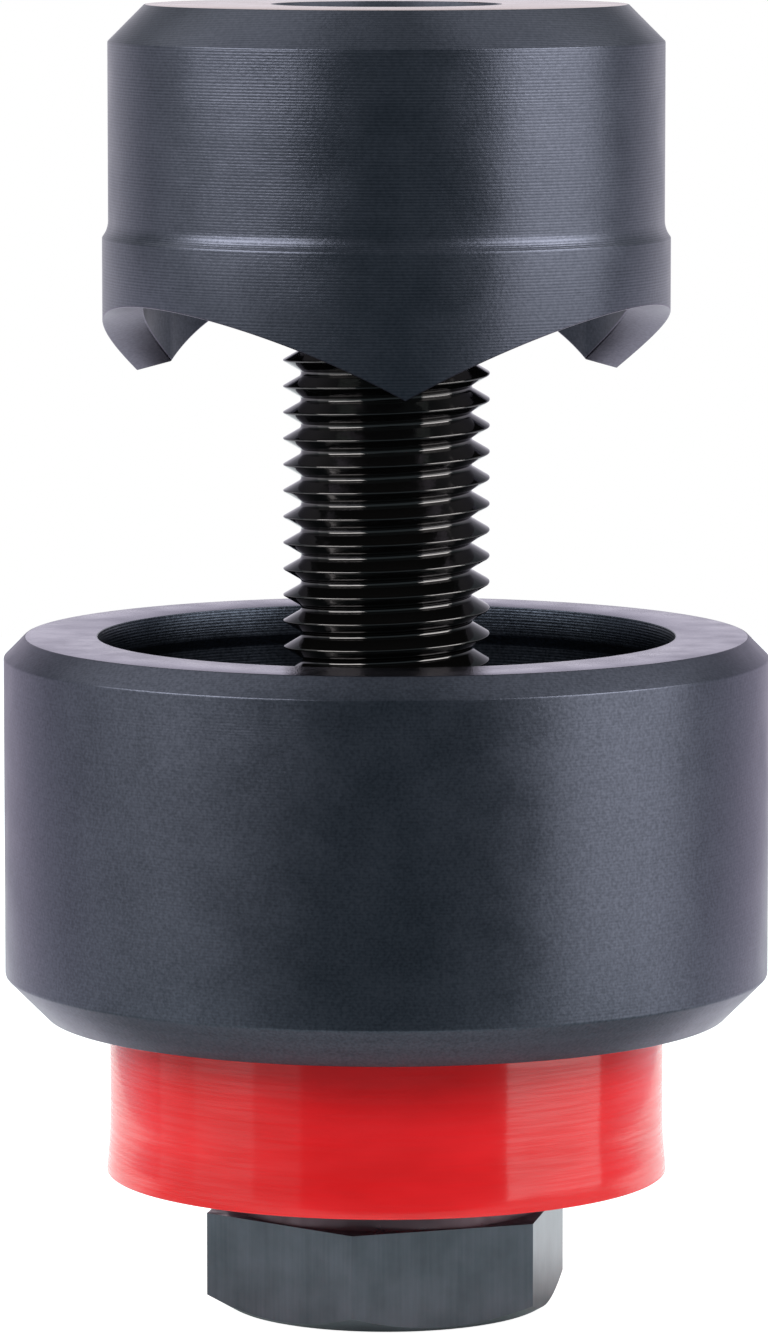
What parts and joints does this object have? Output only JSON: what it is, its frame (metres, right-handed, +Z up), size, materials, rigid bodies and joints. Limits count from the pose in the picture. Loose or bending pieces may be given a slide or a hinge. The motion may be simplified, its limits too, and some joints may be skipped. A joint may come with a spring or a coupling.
{
  "type": "knockout punch",
  "caption": "Screw-drawn knockout punch: toothed punch, cup die, draw bolt and thrust-bearing housing for cutting round holes in sheet metal.",
  "frame": {"origin": "centre of the underside of the draw bolt's hex head, on which the tool stands", "axes": "+Z up along the draw bolt, from its head to the punch; -Y is the front, the side that the picture was taken from; +X is to the right"},
  "size_m": [0.044, 0.044, 0.0751],
  "materials": {
    "blackened_steel": "black oxide over fine turning marks, satin",
    "oiled_black_steel": "black oxide, oiled, glossy on the thread",
    "red_aluminium": "red anodised, fine turned grain",
    "ground_steel": "ground bright",
    "cage_brass": "satin",
    "spring_steel": "dark spring steel, satin"
  },
  "bodies": {
    "housing": {"bearing_housing": "red_aluminium", "housing_washer": "ground_steel", "retaining_ring": "spring_steel"},
    "bolt": {"draw_bolt": "oiled_black_steel", "shaft_washer": "ground_steel"},
    "cage": {"ball_cage": "cage_brass", "ball_01": "ground_steel", "ball_02": "ground_steel", "ball_03": "ground_steel", "ball_04": "ground_steel", "ball_05": "ground_steel", "ball_06": "ground_steel", "ball_07": "ground_steel", "ball_08": "ground_steel", "ball_09": "ground_steel", "ball_10": "ground_steel", "ball_11": "ground_steel", "ball_12": "ground_steel"},
    "die": {"die": "blackened_steel"},
    "punch": {"punch": "blackened_steel"}
  },
  "joints": [
    {"name": "punch_travel", "type": "slide", "parent": "housing", "child": "punch", "axis": [0, 0, 1], "range_m": [-0.022, 0.0105]},
    {"name": "bolt_turn", "type": "hinge", "parent": "housing", "child": "bolt", "pos_m": [0, 0, 0], "axis": [0, 0, 1], "range_deg": [-2520, 5280]},
    {"name": "cage_turn", "type": "hinge", "parent": "housing", "child": "cage", "pos_m": [0, 0, 0], "axis": [0, 0, 1], "range_deg": [-1260, 2640]},
    {"name": "die_lift", "type": "slide", "parent": "housing", "child": "die", "axis": [0, 0, 1], "range_m": [0, 0.008]}
  ],
  "couplings": [
    {"joint": "bolt_turn", "follows": "punch_travel", "rad_per_m": -4188.8},
    {"joint": "cage_turn", "follows": "punch_travel", "rad_per_m": -2094.4}
  ]
}
